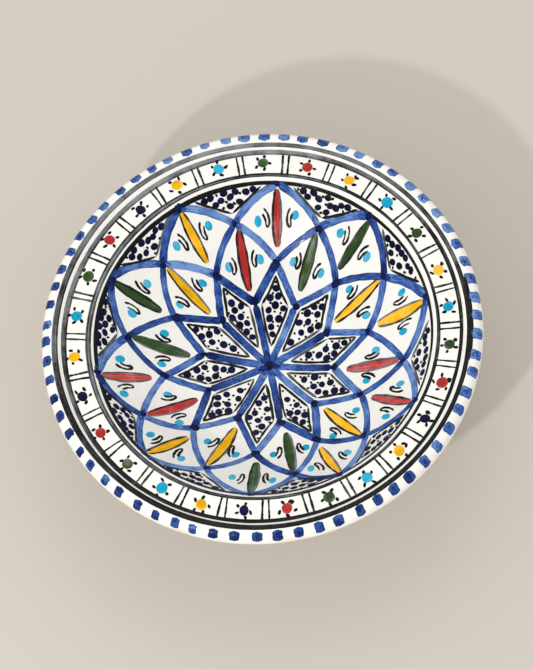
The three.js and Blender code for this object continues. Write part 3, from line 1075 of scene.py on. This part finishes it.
def wheel_line(marks, radius, width, tone, start, sweep):
    """A line drawn on the turning wheel: strands of the brush side by side, overlapping at the end."""
    rand = marks.random
    swing, swell = rand.uniform(0, 360), rand.uniform(0, 360)
    strands = max(1, round(max(width(t) for t in range(0, 360, 30)) / HAIR))
    for strand in range(strands):
        aside = (strand + 0.5) / strands - 0.5
        paler = rand.uniform(-0.16, 0.16)
        line, halves, tones = [], [], []
        for i in range(0, sweep, 2):
            turn = start + i
            wander = 0.2 * ripple(turn, 2, swing) + 0.12 * ripple(turn, 5, swell)
            line.append(polar(radius(turn) + wander + aside * width(turn), turn))
            halves.append(max(0.2, width(turn) / strands * 0.68 * (1 + 0.12 * ripple(turn, 7, swell))))
            tones.append(tone(turn) + paler + 0.08 * ripple(turn, 9, swing))
        marks.stroke(line, halves, tones, (1, 1), 0.04)


class PLATE_OT_wheel_lines(PlateStep):
    """Draw the dark lines that run right round the plate"""
    bl_idname = "plate.wheel_lines"
    bl_label = "Wheel lines"

    def execute(self, context):
        for name, seed, lines, base, node in (
                ("lip_line_paint", 61, LIP_LINES, 0.03, "lip_line"),
                ("well_line_paint", 63, WELL_LINES, 0.06, "well_line"),
                ("flange_lines_paint", 62, FLANGE_LINES, 0.03, "panel_frame")):
            marks = Marks(seed)
            for place, breadth, load, start, sweep in lines:
                wheel_line(marks, wave(*place), wave(*breadth), wave(*load), start, sweep)
            ridden(brushed(name, marks, line_paint(), sides=8, base=base), [node])
        return {"FINISHED"}


class PLATE_OT_panels(PlateStep):
    """Divide the flange into panels and paint a flower in each"""
    bl_idname = "plate.panels"
    bl_label = "Flange panels"

    def execute(self, context):
        dividers, ticks = Marks(71), Dabs(72)
        flowers = {letter: Dabs(73) for letter in set(FLOWER_COLOURS)}
        rand = random.Random(74)
        for k in range(PANELS):
            turn = panel_middle(k + 0.5)
            for aside in (-DIVIDER_ASIDE, DIVIDER_ASIDE):
                skew = rand.uniform(-0.25, 0.25)
                inner = polar(PANEL_INNER, turn + aside - skew)
                outer = polar(PANEL_OUTER, turn + aside + skew)
                dividers.stroke(bowed(inner, outer, rand.uniform(-0.3, 0.3)), rand.uniform(1.15, 1.6),
                                rand.uniform(0.4, 0.7), (0.3, 0.8), 0.18)
            place = polar(FLOWER_RADIUS + rand.uniform(-0.6, 0.6), panel_middle(k))
            size = rand.uniform(7.2, 8.4)
            flower = flowers[FLOWER_COLOURS[k]]
            flower.dab(place, (size, size * rand.uniform(0.8, 0.95)), rand.uniform(0, 180),
                       rand.uniform(0.4, 0.6))
            flower.dab(place + polar(rand.uniform(0.5, 1.2), rand.uniform(0, 360)), (size * 0.8, size * 0.7),
                       rand.uniform(0, 180), rand.uniform(0.4, 0.8), 0.02)
            first = rand.uniform(0, 72)
            for i in range(rand.choice((5, 5, 5, 6))):
                way = first + i * 70 + rand.uniform(-9, 9)
                far = size / 2 + rand.uniform(0.9, 1.8)
                ticks.dab(place + polar(far, way), (rand.uniform(2.4, 3.9), rand.uniform(1.7, 2.3)),
                          way + rand.uniform(-60, 60), 0.9)
        ridden(brushed("panel_dividers", dividers, line_paint(), base=0.06))
        ridden(dabbed("flower_ticks", ticks, line_paint(), sides=10, base=0.12))
        for letter, dabs in sorted(flowers.items()):
            nodes = [f"flower_dot_{k + 1:02d}" for k in range(PANELS) if FLOWER_COLOURS[k] == letter]
            name = COLOUR_NAMES[letter]
            ridden(dabbed(f"{name}_flowers", dabs, paint(letter), sides=16), nodes)
        return {"FINISHED"}


def dash_start(turn):
    """Radius where a dash begins: it keeps further off the lip line on one side."""
    return 142.3 + 1.7 * max(0, math.cos(math.radians(turn - 238))) ** 2


class PLATE_OT_lip(PlateStep):
    """Brush blue dashes over the roll of the lip"""
    bl_idname = "plate.lip"
    bl_label = "Lip dashes"

    def execute(self, context):
        marks = Marks(81)
        rand = marks.random
        count = context.scene.plate_sizes.lip_dashes
        wrap = wave(9.8, 1.5, 60)
        breadth, load = wave(7.0, 0.8, 40), wave(0.42, 0.22, 220)
        for k in range(count):
            turn = k * 360 / count + rand.uniform(-0.5, 0.5)
            near = dash_start(turn) + rand.uniform(-0.4, 0.4)
            far = near + wrap(turn) + rand.uniform(-0.5, 0.5)
            tone = load(turn) + rand.uniform(-0.25, 0.25)
            width = breadth(turn) + rand.uniform(-0.7, 0.7)
            line = [polar(near + (far - near) * i / 10, turn + rand.uniform(-0.06, 0.06)) for i in range(11)]
            marks.stroke(line, width, [tone + 0.25 * (i / 10) for i in range(11)], (0.2, 0.3), 0.05)
            first = rand.choice((1, 2, 3))
            core = [p + Vector((rand.uniform(-0.5, 0.5), rand.uniform(-0.5, 0.5)))
                    for p in line[first:first + 6]]
            marks.stroke(core, width * rand.uniform(0.4, 0.7), min(1, tone + rand.uniform(0.25, 0.5)),
                         (0.4, 0.4), 0.1, 0.02)
        ridden(brushed("lip_dashes", marks, blue_paint(), base=0.04))
        return {"FINISHED"}


def shine(name, strength, size, azimuth, height, away):
    """A round lamp aimed at the plate; strength is the light that arrives there."""
    data = bpy.data.lights.new(name, "AREA")
    data.shape = "DISK"
    data.size = size
    data.energy = strength * math.pi * away * away
    data.color = LAMP_COLOUR
    lamp = bpy.data.objects.new(name, data)
    level = math.cos(height)
    towards = Vector((math.cos(azimuth) * level, math.sin(azimuth) * level, math.sin(height)))
    lamp.location = FLANGE_MIDDLE + towards * away
    lamp.rotation_euler = towards.to_track_quat("Z", "Y").to_euler()
    bpy.context.scene.collection.objects.link(lamp)


def lay_floor():
    mesh = bpy.data.meshes.new("floor")
    corners = [(x * FLOOR_HALF, y * FLOOR_HALF, 0) for x, y in ((-1, -1), (1, -1), (1, 1), (-1, 1))]
    mesh.from_pydata(corners, [], [(0, 1, 2, 3)])
    mesh.materials.append(floor_finish())
    floor = bpy.data.objects.new("floor", mesh)
    bpy.context.scene.collection.objects.link(floor)


def set_camera(elevation, roll, distance, lens):
    back = Vector((0, -math.cos(elevation), math.sin(elevation)))
    right, up = Vector((1, 0, 0)), Vector((0, math.sin(elevation), math.cos(elevation)))
    tilted_right = right * math.cos(roll) + up * math.sin(roll)
    tilted_up = up * math.cos(roll) - right * math.sin(roll)
    data = bpy.data.cameras.new("camera")
    camera = bpy.data.objects.new("camera", data)
    bpy.context.scene.collection.objects.link(camera)
    placed = Matrix((tilted_right, tilted_up, back)).transposed().to_4x4()
    placed.translation = FLANGE_MIDDLE + back * distance
    camera.matrix_world = placed
    data.sensor_width = 36
    data.lens = lens
    data.shift_x, data.shift_y = CAMERA_SHIFT
    data.clip_start, data.clip_end = 0.05, 20
    bpy.context.scene.camera = camera


def light_the_room(strength):
    """Soft light from all round, strongest from the upper walls."""
    world = bpy.data.worlds.new("studio")
    bpy.context.scene.world = world
    world.use_nodes = True
    tree = world.node_tree
    backdrop = tree.nodes["Background"]
    way = separated(tree, new_node(tree, "ShaderNodeTexCoord").outputs["Generated"])
    tree.links.new(ramp(tree, way.outputs[2], SKY), backdrop.inputs["Color"])
    backdrop.inputs["Strength"].default_value = strength


class PLATE_OT_studio(PlateStep):
    """Set the floor, the lights and the camera"""
    bl_idname = "plate.studio"
    bl_label = "Studio"

    def execute(self, context):
        studio = context.scene.plate_studio
        lay_floor()
        set_camera(studio.elevation, studio.roll, studio.distance, studio.lens)
        shine("key", studio.key, studio.key_distance * KEY_WIDTH, studio.key_azimuth, studio.key_height,
              studio.key_distance)
        shine("bounce", studio.bounce, studio.bounce_size, studio.bounce_azimuth, studio.bounce_height,
              studio.bounce_distance)
        light_the_room(studio.fill)
        context.scene.view_settings.view_transform = "Standard"
        return {"FINISHED"}


STEPS = (PLATE_OT_throw, PLATE_OT_glaze, PLATE_OT_star, PLATE_OT_rhombs, PLATE_OT_fans, PLATE_OT_leaves,
         PLATE_OT_flourishes, PLATE_OT_wheel_lines, PLATE_OT_panels, PLATE_OT_lip, PLATE_OT_studio)


class PLATE_PT_steps(bpy.types.Panel):
    """The making steps, in order"""
    bl_idname = "PLATE_PT_steps"
    bl_label = "Painted plate"
    bl_space_type = "VIEW_3D"
    bl_region_type = "UI"
    bl_category = "Plate"

    def draw(self, context):
        for settings in ("plate_sizes", "plate_colours", "plate_studio"):
            group = getattr(context.scene, settings)
            for name in group.__annotations__:
                self.layout.prop(group, name)
        for step in STEPS:
            self.layout.operator(step.bl_idname)


CLASSES = (PlateSizes, PlateColours, StudioSettings, *STEPS, PLATE_PT_steps)


def register():
    for cls in CLASSES:
        bpy.utils.register_class(cls)
    bpy.types.Scene.plate_sizes = PointerProperty(type=PlateSizes)
    bpy.types.Scene.plate_colours = PointerProperty(type=PlateColours)
    bpy.types.Scene.plate_studio = PointerProperty(type=StudioSettings)


def unregister():
    for name in ("plate_sizes", "plate_colours", "plate_studio"):
        delattr(bpy.types.Scene, name)
    for cls in reversed(CLASSES):
        bpy.utils.unregister_class(cls)


def main():
    register()
    for step in STEPS:
        getattr(bpy.ops.plate, step.bl_idname.split(".")[1])()


if __name__ == "__main__":
    main()
